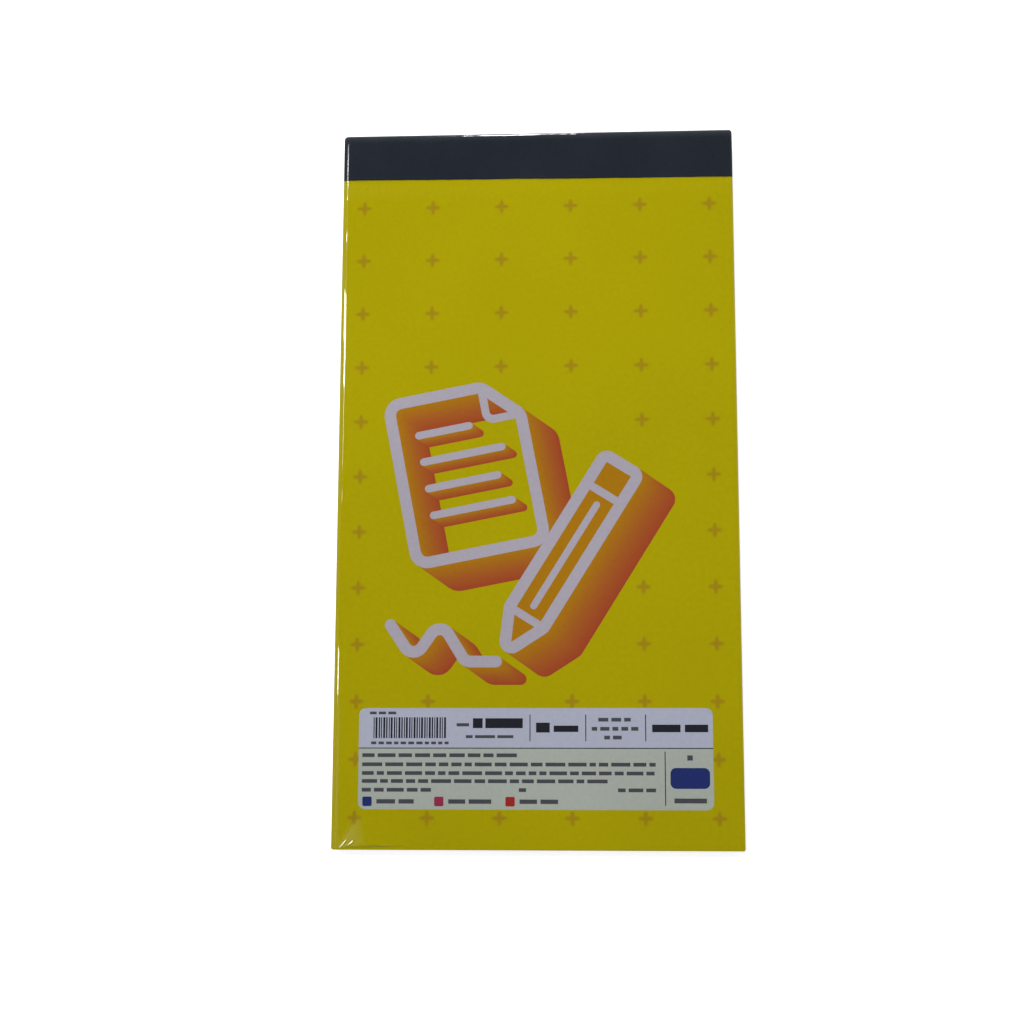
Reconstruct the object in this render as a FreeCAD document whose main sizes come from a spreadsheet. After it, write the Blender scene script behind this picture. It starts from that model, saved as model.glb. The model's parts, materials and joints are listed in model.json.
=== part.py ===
# Top-bound writing pad: ruled sheets on a grey board, a glossy card cover that folds
# open at the head, a binding tape folded round the head and two wire stitches under it.
# Frame: +Z up, +X across the pad, +Y towards the bound head, origin under the middle.
import FreeCAD
import Part
import Sketcher

import math
import os

SIZES = {
    # Trimmed size of the pad, over the binding tape.
    "pad_width": 105.0,
    "pad_length": 190.0,
    # The stack, from the back up.
    "board_thickness": 1.0,
    "sheet_count": 40,
    "sheet_thickness": 0.08,
    "cover_thickness": 0.3,
    "tape_thickness": 0.12,
    # How far the tape reaches down the front, where it is laid a little askew, and up
    # the back of the pad.
    "tape_left_width": 12.7,
    "tape_right_width": 13.4,
    "tape_back_width": 12.0,
    # The cover's crease, measured from the head.
    "crease_inset": 13.5,
    # The knife presses the cover's trimmed edges down: how far in the bend starts
    # on each side, and the radius of the cover's outer face there.
    "left_roll": 1.1,
    "right_roll": 0.8,
    "foot_roll": 0.5,
    "roll_radius": 1.9,
    # Outer radii of the tape where it folds over the head.
    "head_round": 0.8,
    "back_round": 0.5,
    # Worn corners, seen from the front.
    "head_corner": 0.8,
    "foot_corner": 0.5,
    # Clearances: cover over sheets, cover end to its margin, opened cover to tape.
    "cover_clearance": 0.1,
    "crease_gap": 0.1,
    "fold_clearance": 0.1,
    # Stitches of flat wire through the head.
    "wire_width": 0.7,
    "wire_thickness": 0.4,
    "wire_clearance": 0.02,
    "wire_bend": 0.6,
    "stitch_width": 12.0,
    "stitch_foot": 4.0,
    "stitch_spacing": 52.0,
    "stitch_inset": 6.2,
    # How far a cutting sketch reaches past the edge that it trims.
    "trim_allowance": 2.0,
}

doc = FreeCAD.newDocument("writing_pad")
sheet = doc.addObject("Spreadsheet::Sheet", "Sizes")
for row, (alias, number) in enumerate(SIZES.items(), start=1):
    sheet.set(f"A{row}", alias)
    sheet.set(f"B{row}", str(number))
    sheet.setAlias(f"B{row}", alias)
doc.recompute()


def cells(formula):
    """A formula over the sheet's aliases, as an expression that any object can hold."""
    words = []
    for word in formula.replace("(", " ( ").replace(")", " ) ").split():
        words.append(f"Sizes.{word}" if word in SIZES else word)
    return " ".join(words)


def value(expression):
    """The number that an expression gives with the sheet as it stands."""
    return float(sheet.evalExpression(expression))


# Levels and edges, worked out from the cells.
SIDE = cells("pad_width / 2")
FOOT = cells("( 0 - pad_length / 2 )")
HEAD = cells("pad_length / 2")
STACK_HEAD = cells("( pad_length / 2 - tape_thickness )")
CREASE = cells("( pad_length / 2 - crease_inset )")
TAPE_LEFT_EDGE = cells("( pad_length / 2 - tape_left_width )")
TAPE_RIGHT_EDGE = cells("( pad_length / 2 - tape_right_width )")
TAPE_BACK_EDGE = cells("( pad_length / 2 - tape_back_width )")
COVER_END = f"( {CREASE} - {cells('crease_gap')} )"

BOARD_TOP = cells("board_thickness")
PAGES_TOP = cells("( board_thickness + sheet_count * sheet_thickness )")
MARGIN_TOP = f"( {PAGES_TOP} + {cells('cover_thickness')} )"
TAPE_TOP = f"( {MARGIN_TOP} + {cells('tape_thickness')} )"
COVER_UNDER = f"( {PAGES_TOP} + {cells('cover_clearance')} )"
COVER_TOP = f"( {COVER_UNDER} + {cells('cover_thickness')} )"
# One line along each trimmed edge is the centre of every layer's pressed bend.
ROLL_LEVEL = f"( {COVER_TOP} - {cells('roll_radius')} )"

HEAD_INNER_ROUND = cells("( head_round - tape_thickness )")
BACK_INNER_ROUND = cells("( back_round - tape_thickness )")

HALF_WIRE = (cells("( wire_width / 2 )"), cells("( wire_thickness / 2 )"))
HALF_WAY = (
    cells("( wire_width / 2 + wire_clearance )"),
    cells("( wire_thickness / 2 + wire_clearance )"),
)
CROWN_LEVEL = f"( {MARGIN_TOP} - {HALF_WAY[1]} )"
FOOT_LEVEL = f"( {cells('tape_thickness')} + {HALF_WAY[1]} )"
DENT_FLOOR = f"( {CROWN_LEVEL} - {HALF_WAY[1]} - {cells('cover_thickness')} )"
STITCH_HALF = cells("( stitch_width / 2 )")
FOOT_TIP = cells("( stitch_width / 2 - stitch_foot )")
STITCH_Y = cells("( pad_length / 2 - stitch_inset )")


def roll_radius_at(top):
    """Radius of the pressed bend of a face that lies at this level."""
    return f"( {top} - {ROLL_LEVEL} )"


def roll_edge_at(top, roll):
    """Level at which that bend meets the trimmed side."""
    radius = roll_radius_at(top)
    return f"( {ROLL_LEVEL} + sqrt( {radius} * {radius} - {roll} * {roll} ) )"


def sketch_on(body, role, name):
    """A sketch on one of the body's own origin planes."""
    sketch = body.newObject("Sketcher::SketchObject", name)
    plane = next(item for item in body.Origin.OriginFeatures if item.Role == role)
    sketch.AttachmentSupport = [(plane, "")]
    sketch.MapMode = "FlatFace"
    return sketch


def arc_geometry(start, end, radius):
    """A counter-clockwise arc under half a turn, between two points."""
    chord = end - start
    middle = (start + end) * 0.5
    rise = math.sqrt(max(radius * radius - chord.Length * chord.Length / 4, 0))
    left = FreeCAD.Vector(-chord.y, chord.x, 0).normalize()
    centre = middle + left * rise
    circle = Part.Circle(centre, FreeCAD.Vector(0, 0, 1), radius)
    first = math.atan2(start.y - centre.y, start.x - centre.x)
    last = math.atan2(end.y - centre.y, end.x - centre.x)
    if last < first:
        last += 2 * math.pi
    return Part.ArcOfCircle(circle, first, last)


def draw(sketch, points, arcs=None, closed=True):
    """Draw a line through points, each bound to two expressions.

    arcs gives, for the stretch that starts at a point's index, its radius and whether it
    turns counter-clockwise; the other stretches are straight.
    """
    arcs = arcs or {}
    places = [FreeCAD.Vector(value(u), value(v), 0) for u, v in points]
    count = len(points)
    stretches = count if closed else count - 1
    first_geometry = sketch.GeometryCount
    starts, ends = [], []
    for index in range(stretches):
        here, there = places[index], places[(index + 1) % count]
        geometry = first_geometry + index
        if index not in arcs:
            sketch.addGeometry(Part.LineSegment(here, there), False)
            starts.append((geometry, 1))
            ends.append((geometry, 2))
            continue
        radius, counter_clockwise = arcs[index]
        if counter_clockwise:
            sketch.addGeometry(arc_geometry(here, there, value(radius)), False)
            starts.append((geometry, 1))
            ends.append((geometry, 2))
        else:
            sketch.addGeometry(arc_geometry(there, here, value(radius)), False)
            starts.append((geometry, 2))
            ends.append((geometry, 1))
        rule = sketch.addConstraint(Sketcher.Constraint("Radius", geometry, value(radius)))
        sketch.renameConstraint(rule, f"radius_{geometry}")
        sketch.setExpression(f"Constraints.radius_{geometry}", radius)
    joints = stretches if closed else stretches - 1
    for index in range(joints):
        follower = starts[(index + 1) % stretches]
        sketch.addConstraint(Sketcher.Constraint("Coincident", *ends[index], *follower))
    anchors = starts if closed else starts + [ends[-1]]
    for number, (anchor, (u, v)) in enumerate(zip(anchors, points)):
        for kind, expression in (("DistanceX", u), ("DistanceY", v)):
            label = f"{kind}_{first_geometry}_{number}"
            constraint = Sketcher.Constraint(kind, -1, 1, *anchor, value(expression))
            sketch.renameConstraint(sketch.addConstraint(constraint), label)
            sketch.setExpression(f"Constraints.{label}", expression)


def trim(body, sketch, name, upwards_only=False):
    """Cut what the sketch encloses right through the body, both ways or upwards only."""
    before = body.Shape.Volume
    pocket = body.newObject("PartDesign::Pocket", name)
    pocket.Profile = sketch
    pocket.Type = "ThroughAll"
    pocket.SideType = "One side" if upwards_only else "Symmetric"
    pocket.Reversed = upwards_only
    doc.recompute()
    if not body.Shape.Volume < before:
        raise RuntimeError(f"{name} of {body.Label} cuts nothing")


def prism(name, outline, arcs=None, width=cells("pad_width")):
    """A body with this side view, as wide as the pad unless another width is given."""
    body = doc.addObject("PartDesign::Body", name)
    profile = sketch_on(body, "YZ_Plane", f"{name}_side_view")
    draw(profile, outline, arcs)
    pad = body.newObject("PartDesign::Pad", f"{name}_width")
    pad.Profile = profile
    pad.SideType = "Symmetric"
    pad.setExpression("Length", width)
    doc.recompute()
    return body


def press_sides(body, top):
    """Round the long top edges as the knife presses them, for a face at this level."""
    sketch = sketch_on(body, "XZ_Plane", f"{body.Name}_pressed_sides")
    above = f"( {top} + {cells('trim_allowance')} )"
    radius = roll_radius_at(top)
    for sign, roll in (("-1", cells("left_roll")), ("1", cells("right_roll"))):
        edge = (f"{sign} * {SIDE}", roll_edge_at(top, roll))
        crest = (f"{sign} * ( {SIDE} - {roll} )", top)
        outside = f"{sign} * ( {SIDE} + {cells('trim_allowance')} )"
        points = [edge, crest, (crest[0], above), (outside, above), (outside, edge[1])]
        draw(sketch, points, {0: (radius, sign == "1")})
    trim(body, sketch, f"{body.Name}_pressed_cut")


def round_corners(body, end, radius):
    """Round the two corners at the head (end 1) or at the foot (end -1)."""
    sketch = sketch_on(body, "XY_Plane", f"{body.Name}_corners_{'head' if end == '1' else 'foot'}")
    allowance = cells("trim_allowance")
    for side in ("-1", "1"):
        on_side = (f"{side} * {SIDE}", f"{end} * ( {HEAD} - {radius} )")
        on_end = (f"{side} * ( {SIDE} - {radius} )", f"{end} * {HEAD}")
        beyond_side = f"{side} * ( {SIDE} + {allowance} )"
        beyond_end = f"{end} * ( {HEAD} + {allowance} )"
        points = [
            on_side,
            on_end,
            (on_end[0], beyond_end),
            (beyond_side, beyond_end),
            (beyond_side, on_side[1]),
        ]
        draw(sketch, points, {0: (radius, side == end)})
    trim(body, sketch, f"{sketch.Name}_cut")


def head_arc_y(top):
    """How far the folded head reaches at the level of a layer's top face."""
    rise = f"( {top} - {MARGIN_TOP} + {HEAD_INNER_ROUND} )"
    return (
        f"( {STACK_HEAD} - {HEAD_INNER_ROUND}"
        f" + sqrt( {HEAD_INNER_ROUND} * {HEAD_INNER_ROUND} - {rise} * {rise} ) )"
    )


def stack_outline(bottom, top):
    """Side view of a layer from the foot, pressed down there, to the rounded head."""
    foot_roll = cells("foot_roll")
    points = [
        (FOOT, bottom),
        (STACK_HEAD, bottom),
        (STACK_HEAD, f"( {MARGIN_TOP} - {HEAD_INNER_ROUND} )"),
        (head_arc_y(top), top),
        (f"( {FOOT} + {foot_roll} )", top),
        (FOOT, roll_edge_at(top, foot_roll)),
    ]
    return points, {2: (HEAD_INNER_ROUND, True), 4: (roll_radius_at(top), True)}


def cover_outline(bottom, top):
    """Side view of the hinged cover, from the pressed foot to its end at the crease."""
    foot_roll = cells("foot_roll")
    points = [
        (FOOT, bottom),
        (COVER_END, bottom),
        (COVER_END, top),
        (f"( {FOOT} + {foot_roll} )", top),
        (FOOT, roll_edge_at(top, foot_roll)),
    ]
    return points, {3: (roll_radius_at(top), True)}


def fuse(name, pieces):
    union = doc.addObject("Part::MultiFuse", name)
    union.Shapes = pieces
    return union


def cut(name, base, tool):
    result = doc.addObject("Part::Cut", name)
    result.Base = base
    result.Tool = tool
    return result


def stitch_wire(name, centre_x, half_section):
    """A wire stitch, or the way that it needs: crown, two legs and two clinched feet."""
    body = doc.addObject("PartDesign::Body", name)
    path = sketch_on(body, "XZ_Plane", f"{name}_path")
    bend = cells("wire_bend")
    inner = f"( {STITCH_HALF} - {bend} )"
    foot_bend = f"( {FOOT_LEVEL} + {bend} )"
    crown_bend = f"( {CROWN_LEVEL} - {bend} )"
    right = [
        (FOOT_TIP, FOOT_LEVEL),
        (inner, FOOT_LEVEL),
        (STITCH_HALF, foot_bend),
        (STITCH_HALF, crown_bend),
        (inner, CROWN_LEVEL),
    ]
    left = [(f"-1 * {u}", v) for u, v in reversed(right)]
    arcs = {index: (bend, True) for index in (1, 3, 5, 7)}
    draw(path, right + left, arcs, closed=False)
    half_width, half_thickness = half_section
    section = sketch_on(body, "YZ_Plane", f"{name}_section")
    section.setExpression("AttachmentOffset.Base.z", FOOT_TIP)
    low = f"( {FOOT_LEVEL} - {half_thickness} )"
    high = f"( {FOOT_LEVEL} + {half_thickness} )"
    corners = [(-1, low), (1, low), (1, high), (-1, high)]
    draw(section, [(f"{sign} * {half_width}", level) for sign, level in corners])
    doc.recompute()
    pipe = body.newObject("PartDesign::AdditivePipe", f"{name}_wire")
    pipe.Profile = section
    pipe.Spine = path
    body.setExpression("Placement.Base.x", centre_x)
    body.setExpression("Placement.Base.y", STITCH_Y)
    doc.recompute()
    return body


def box(name, low, high):
    """A box between two corners, each given by three expressions."""
    block = doc.addObject("Part::Box", name)
    for axis, length, start, end in zip("xyz", ("Length", "Width", "Height"), low, high):
        block.setExpression(f"Placement.Base.{axis}", start)
        block.setExpression(length, f"{end} - {start}")
    return block


def stitch_cutters(name, centre_x):
    """What a stitch needs in the card, the sheets and the board.

    Returns the way of the wire, the channels that open from it to the tape at the front
    and at the back, and the dent that its crown presses into the sheets.
    """
    way = stitch_wire(f"{name}_way", centre_x, HALF_WAY)
    half_width, half_thickness = HALF_WAY
    reach = f"( {STITCH_HALF} + {half_thickness} )"
    low_y = f"( {STITCH_Y} - {half_width} )"
    high_y = f"( {STITCH_Y} + {half_width} )"
    crown_channel = box(
        f"{name}_crown_channel",
        (f"( {centre_x} - {reach} )", low_y, CROWN_LEVEL),
        (f"( {centre_x} + {reach} )", high_y, TAPE_TOP),
    )
    foot_channels = []
    for side, start, end in (("left", f"-1 * {reach}", f"-1 * {FOOT_TIP}"),
                             ("right", FOOT_TIP, reach)):
        foot_channels.append(box(
            f"{name}_{side}_foot_channel",
            (f"( {centre_x} + {start} )", low_y, "0"),
            (f"( {centre_x} + {end} )", high_y, FOOT_LEVEL),
        ))
    card = cells("cover_thickness")
    dent_side = f"( {half_width} + {card} )"
    dent_corner = f"( {DENT_FLOOR} + {card} )"
    above = f"( {PAGES_TOP} + {cells('trim_allowance')} )"
    dent_points = [
        (f"-1 * {dent_side}", above),
        (f"-1 * {dent_side}", dent_corner),
        (f"-1 * {half_width}", DENT_FLOOR),
        (half_width, DENT_FLOOR),
        (dent_side, dent_corner),
        (dent_side, above),
    ]
    dent_arcs = {1: (card, True), 3: (card, True)}
    dent_length = f"2 * ( {reach} + {card} )"
    dent = prism(f"{name}_dent", dent_points, dent_arcs, dent_length)
    dent.setExpression("Placement.Base.x", centre_x)
    dent.setExpression("Placement.Base.y", STITCH_Y)
    doc.recompute()
    return way, crown_channel, foot_channels, dent


# Wire stitches and the ways that they need.
STITCHES = {
    "left": cells("( 0 - stitch_spacing / 2 )"),
    "right": cells("( stitch_spacing / 2 )"),
}
ways, crown_channels, foot_channels, dents = [], [], [], []
stitches = []
for side, centre_x in STITCHES.items():
    stitches.append(stitch_wire(f"stitch_{side}", centre_x, HALF_WIRE))
    way, crown_channel, channels, dent = stitch_cutters(f"{side}_cutter", centre_x)
    ways.append(way)
    crown_channels.append(crown_channel)
    foot_channels += channels
    dents.append(dent)
sheet_cutters = fuse("sheet_cutters", ways + dents)
board_cutters = fuse("board_cutters", ways + foot_channels)
margin_cutters = fuse("margin_cutters", ways + crown_channels)

# Ruled sheets, one block.
pages = prism("trimmed_pages", *stack_outline(BOARD_TOP, PAGES_TOP))
press_sides(pages, PAGES_TOP)
round_corners(pages, "1", cells("head_corner"))
round_corners(pages, "-1", cells("foot_corner"))
page_block = cut("page_block", pages, sheet_cutters)

# Grey board, pressed in at the back where the tape lies.
board_points = [
    (FOOT, "0"),
    (TAPE_BACK_EDGE, "0"),
    (TAPE_BACK_EDGE, cells("tape_thickness")),
    (f"( {STACK_HEAD} - {BACK_INNER_ROUND} )", cells("tape_thickness")),
    (STACK_HEAD, f"( {cells('tape_thickness')} + {BACK_INNER_ROUND} )"),
    (STACK_HEAD, BOARD_TOP),
    (FOOT, BOARD_TOP),
]
board = prism("trimmed_board", board_points, {3: (BACK_INNER_ROUND, True)})
round_corners(board, "1", cells("head_corner"))
round_corners(board, "-1", cells("foot_corner"))
back_board = cut("back_board", board, board_cutters)

# Hinged part of the cover: a card sheet whose trimmed edges are pressed down.
cover_block = prism("cover_outer_form", *cover_outline(ROLL_LEVEL, COVER_TOP))
press_sides(cover_block, COVER_TOP)
round_corners(cover_block, "-1", cells("foot_corner"))
cover_hollow = prism("cover_inner_form", *cover_outline(BOARD_TOP, COVER_UNDER))
press_sides(cover_hollow, COVER_UNDER)
front_cover = cut("front_cover", cover_block, cover_hollow)

# Margin of the same card, held between the sheets and the tape, dented by the stitches.
margin_points = [
    (CREASE, DENT_FLOOR),
    (STACK_HEAD, DENT_FLOOR),
    (STACK_HEAD, f"( {MARGIN_TOP} - {HEAD_INNER_ROUND} )"),
    (f"( {STACK_HEAD} - {HEAD_INNER_ROUND} )", MARGIN_TOP),
    (CREASE, MARGIN_TOP),
]
margin_block = prism("margin_form", margin_points, {2: (HEAD_INNER_ROUND, True)})
press_sides(margin_block, MARGIN_TOP)
round_corners(margin_block, "1", cells("head_corner"))
margin_sheet = cut("margin_sheet", margin_block, page_block)
cover_margin = cut("cover_margin", margin_sheet, margin_cutters)

# Binding tape, folded round the head from the front to the back.
tape_points = [
    (TAPE_BACK_EDGE, "0"),
    (f"( {HEAD} - {cells('back_round')} )", "0"),
    (HEAD, cells("back_round")),
    (HEAD, f"( {TAPE_TOP} - {cells('head_round')} )"),
    (f"( {HEAD} - {cells('head_round')} )", TAPE_TOP),
    (CREASE, TAPE_TOP),
    (CREASE, BOARD_TOP),
    (TAPE_BACK_EDGE, BOARD_TOP),
]
tape_arcs = {1: (cells("back_round"), True), 3: (cells("head_round"), True)}
tape_block = prism("tape_outer_form", tape_points, tape_arcs)
press_sides(tape_block, TAPE_TOP)
round_corners(tape_block, "1", cells("head_corner"))
askew = sketch_on(tape_block, "XY_Plane", "tape_lower_edge")
askew.setExpression("AttachmentOffset.Base.z", BOARD_TOP)
outside = f"( {SIDE} + {cells('trim_allowance')} )"
below = f"( {CREASE} - {cells('trim_allowance')} )"
draw(askew, [
    (f"-1 * {outside}", below),
    (outside, below),
    (outside, TAPE_RIGHT_EDGE),
    (SIDE, TAPE_RIGHT_EDGE),
    (f"-1 * {SIDE}", TAPE_LEFT_EDGE),
    (f"-1 * {outside}", TAPE_LEFT_EDGE),
])
trim(tape_block, askew, "tape_lower_edge_cut", upwards_only=True)
core_foot = f"( {CREASE} - {cells('tape_back_width')} )"
core_points = [
    (core_foot, cells("tape_thickness")),
    (f"( {STACK_HEAD} - {BACK_INNER_ROUND} )", cells("tape_thickness")),
    (STACK_HEAD, f"( {cells('tape_thickness')} + {BACK_INNER_ROUND} )"),
    (STACK_HEAD, f"( {MARGIN_TOP} - {HEAD_INNER_ROUND} )"),
    (f"( {STACK_HEAD} - {HEAD_INNER_ROUND} )", MARGIN_TOP),
    (core_foot, MARGIN_TOP),
]
core_arcs = {1: (BACK_INNER_ROUND, True), 3: (HEAD_INNER_ROUND, True)}
core_block = prism("tape_inner_form", core_points, core_arcs)
press_sides(core_block, MARGIN_TOP)
binding_tape = cut("binding_tape", tape_block, core_block)

doc.recompute()

# Check every object, then write each piece.
for item in doc.Objects:
    if "Invalid" in item.State or "Error" in item.State:
        raise RuntimeError(f"{item.Label} failed: {item.State}")

pieces = [back_board, page_block, front_cover, cover_margin, binding_tape] + stitches
os.makedirs("parts", exist_ok=True)
for piece in pieces:
    shape = piece.Shape
    if shape.isNull() or not shape.isValid() or len(shape.Solids) != 1:
        raise RuntimeError(f"{piece.Label} is not one valid solid")
    shape.exportStep(os.path.join("parts", f"{piece.Label}.step"))
    print(f"{piece.Label}: {shape.Volume:.2f} mm3")

crease_axis_level = value(f"( {COVER_TOP} + {TAPE_TOP} + {cells('fold_clearance')} ) / 2")
print(f"crease at y {value(CREASE):.3f} z {crease_axis_level:.3f} mm")
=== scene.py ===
# A glossy card-covered writing pad, bound at the head with dark tape, lying on a table.
import json
import math
import random

import bpy
from mathutils import Matrix, Vector
from mathutils.geometry import delaunay_2d_cdt


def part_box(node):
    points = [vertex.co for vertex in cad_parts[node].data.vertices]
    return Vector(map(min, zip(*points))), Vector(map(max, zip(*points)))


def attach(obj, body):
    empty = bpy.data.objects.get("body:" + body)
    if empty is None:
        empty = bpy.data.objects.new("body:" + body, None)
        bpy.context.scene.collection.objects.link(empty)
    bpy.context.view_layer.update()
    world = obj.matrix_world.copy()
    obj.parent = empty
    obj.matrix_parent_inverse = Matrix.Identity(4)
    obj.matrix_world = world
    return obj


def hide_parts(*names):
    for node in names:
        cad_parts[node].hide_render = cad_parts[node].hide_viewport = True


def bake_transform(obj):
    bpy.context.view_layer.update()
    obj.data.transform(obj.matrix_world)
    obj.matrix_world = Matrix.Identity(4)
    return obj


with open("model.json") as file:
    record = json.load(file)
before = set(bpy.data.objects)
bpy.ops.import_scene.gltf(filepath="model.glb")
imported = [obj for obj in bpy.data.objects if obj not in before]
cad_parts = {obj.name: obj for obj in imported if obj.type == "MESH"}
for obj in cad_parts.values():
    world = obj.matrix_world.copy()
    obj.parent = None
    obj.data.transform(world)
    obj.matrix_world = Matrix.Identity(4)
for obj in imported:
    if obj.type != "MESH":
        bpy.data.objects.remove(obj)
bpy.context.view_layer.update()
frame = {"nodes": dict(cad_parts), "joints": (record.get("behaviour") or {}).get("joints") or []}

MM = 0.001

# Sizes read from the pad itself, in millimetres, so that every piece made here follows it.
tape_box = [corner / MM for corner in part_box("binding_tape")]
cover_box = [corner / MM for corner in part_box("front_cover")]
margin_box = [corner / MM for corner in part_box("cover_margin")]
pages_box = [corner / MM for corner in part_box("page_block")]
SIDE = cover_box[1].x
FOOT = cover_box[0].y
HEAD = tape_box[1].y
STACK_HEAD = pages_box[1].y
COVER_TOP = cover_box[1].z
MARGIN_TOP = margin_box[1].z
TAPE_TOP = tape_box[1].z
PAGES_TOP = pages_box[1].z
PAGES_BOTTOM = pages_box[0].z
CARD_THICKNESS = MARGIN_TOP - PAGES_TOP
TAPE_THICKNESS = TAPE_TOP - MARGIN_TOP
CREASE_Y = frame["joints"][0]["pos_m"][1] / MM

# How the trimmed edges are pressed down, and how the corners are worn round.
ROLL_RADIUS = 1.9
LEFT_ROLL_RADIUS = 2.77
LEFT_ROLL = 1.35
RIGHT_ROLL = 0.8
FOOT_ROLL = 0.5
HEAD_CORNER = 0.8
FOOT_CORNER = 0.5

# The tape is laid a little askew across the front.
TAPE_LEFT_WIDTH = 12.7
TAPE_RIGHT_WIDTH = 13.4
TAPE_BACK_WIDTH = 12.0
HEAD_ROUND = 0.8
BACK_ROUND = 0.5


def linear(red, green, blue):
    """A colour as it is seen, 0 to 255, as the linear values that a shader takes."""
    def curve(level):
        level /= 255
        return level / 12.92 if level <= 0.04045 else ((level + 0.055) / 1.055) ** 2.4
    return (curve(red), curve(green), curve(blue), 1.0)


YELLOW = (173, 161, 4)
ORANGE = (170, 118, 18)
# The inks by the names that the fields of print use, each with the name of its finish
# and its colours as they are seen. Two or three colours are a fade.
INKS = {
    "yellow": ("cover_yellow", YELLOW),
    "plus": ("plus_ochre", YELLOW, (161, 134, 22)),
    "sunset": ("sunset_fade", ORANGE, (165, 92, 36), (160, 68, 40)),
    "face": ("pencil_orange", ORANGE),
    "white": ("outline_white", (172, 166, 178)),
    "panel_upper": ("panel_cool_white", (176, 180, 198)),
    "panel_lower": ("panel_warm_white", (172, 179, 170)),
    "dark": ("small_print_dark", (38, 38, 46)),
    "grey": ("small_print_grey", (74, 76, 82)),
    "blue": ("tab_blue", (38, 50, 110)),
    "rose": ("tab_rose", (150, 50, 75)),
    "red": ("tab_red", (160, 44, 40)),
}
# The stocks.
TAPE_NAVY = linear(36, 41, 49)
# The paler navy of the painted sheen along the tape's fold, which stands in for light on the
# bend.
TAPE_SHEEN_NAVY = linear(92, 96, 102)
CARD_RAW = linear(206, 203, 190)
PAPER_WHITE = linear(224, 224, 218)
RULE_BLUE = linear(140, 160, 190)
BOARD_GREY = linear(150, 143, 131)
BOARD_FLECK = linear(104, 98, 90)
WIRE_ZINC = (0.62, 0.62, 0.64, 1.0)
TABLE_WHITE = (0.82, 0.82, 0.82, 1.0)


def add_object(name, data):
    """A new object with this mesh, lamp or lens, in the scene."""
    made = bpy.data.objects.new(name, data)
    bpy.context.scene.collection.objects.link(made)
    return made


# Surface shape

def arc_drop(radius, reach):
    """How far a face bent to this radius falls, this far past the start of the bend."""
    reach = max(reach, 0.0)
    return radius - math.sqrt(max(radius * radius - reach * reach, 0.0))


def pressed(x, y, level):
    """Level of a face at this point, where its trimmed edges are pressed down."""
    depth = COVER_TOP - level
    falls = (
        arc_drop(LEFT_ROLL_RADIUS - depth, LEFT_ROLL - (x + SIDE)),
        arc_drop(ROLL_RADIUS - depth, RIGHT_ROLL - (SIDE - x)),
        arc_drop(ROLL_RADIUS - depth, FOOT_ROLL - (y - FOOT)),
    )
    return level - math.hypot(*falls)


def smooth(low, high, value):
    """A share from 0 at low to 1 at high, eased at both ends."""
    share = min(max((value - low) / (high - low), 0.0), 1.0)
    return share * share * (3 - 2 * share)


# Plan shapes, in millimetres on the cover: +x to the right, +y towards the head

def arc(centre, radius, start, end, steps):
    """Points on an arc, with its angles in degrees."""
    angles = [math.radians(start + (end - start) * step / steps) for step in range(steps + 1)]
    return [centre + radius * Vector((math.cos(a), math.sin(a))) for a in angles]


def disc(centre, radius, steps):
    return arc(Vector(centre), radius, 0, 360, steps)[:-1]


def rectangle(low_x, low_y, high_x, high_y):
    corners = ((low_x, low_y), (high_x, low_y), (high_x, high_y), (low_x, high_y))
    return [Vector(corner) for corner in corners]


def rounded(points, radius, closed=True, steps=6):
    """A line through points with its corners turned into arcs."""
    points = [Vector(p) for p in points]
    count = len(points)
    line = []
    for index, corner in enumerate(points):
        if not closed and index in (0, count - 1):
            line.append(corner)
            continue
        back = (points[index - 1] - corner).normalized()
        ahead = (points[(index + 1) % count] - corner).normalized()
        half = back.angle(ahead) / 2
        centre = corner + (back + ahead).normalized() * (radius / math.sin(half))
        first = corner + back * (radius / math.tan(half)) - centre
        turn = first.angle_signed(corner + ahead * (radius / math.tan(half)) - centre)
        for step in range(steps + 1):
            swing = Matrix.Rotation(-turn * step / steps, 2)
            line.append(centre + swing @ first)
    return line


def turned(points, degrees, centre):
    swing = Matrix.Rotation(math.radians(degrees), 2)
    return [Vector(centre) + swing @ Vector(p) for p in points]


def offset_line(line, distance, closed):
    """The line moved sideways to its left."""
    count = len(line)
    moved = []
    for index, point in enumerate(line):
        before = line[index - 1] if closed or index > 0 else point
        after = line[(index + 1) % count] if closed or index < count - 1 else point
        sides = []
        for run in (point - before, after - point):
            if run.length > 1e-6:
                sides.append(Vector((-run.y, run.x)).normalized())
        side = (sides[0] + sides[-1]).normalized()
        moved.append(point + side * (distance / max(side.dot(sides[0]), 0.3)))
    return moved


def both_edges(line, width, closed):
    """The left and the right edge of a stroke along the line."""
    return [offset_line(line, side * width / 2, closed) for side in (1, -1)]


def pairs(line, closed):
    """The straight runs of a line, each as its two ends."""
    return list(zip(line, line[1:] + line[:1])) if closed else list(zip(line, line[1:]))


def area(points):
    """Area of a polygon, below 0 where it runs clockwise."""
    return sum(a.x * b.y - b.x * a.y for a, b in pairs(points, True)) / 2


# Print

SMALLEST_FIELD = 1e-4
SMALLEST_WALL = 1e-3
END_STEPS = 14

# Where fields overlap, the one with the higher rank is seen. The white line and the
# face of a raised form lie over its walls.
PLUS_RANK = 5
PAGE_RANK = 10
LINES_RANK = 14
SQUIGGLE_RANK = 16
PENCIL_RANK = 20
PANEL_RANK = 30
MARK_RANK = 33
SLOT_RANK = 99
OUTLINE_OVER = 2
FACE_OVER = 1.5


def colour_field(points, ink, rank, wall=None, core=None):
    """A polygon of one ink, with what its fade follows, if it has one."""
    return {"points": points, "ink": ink, "rank": rank, "wall": wall, "core": core}


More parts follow.
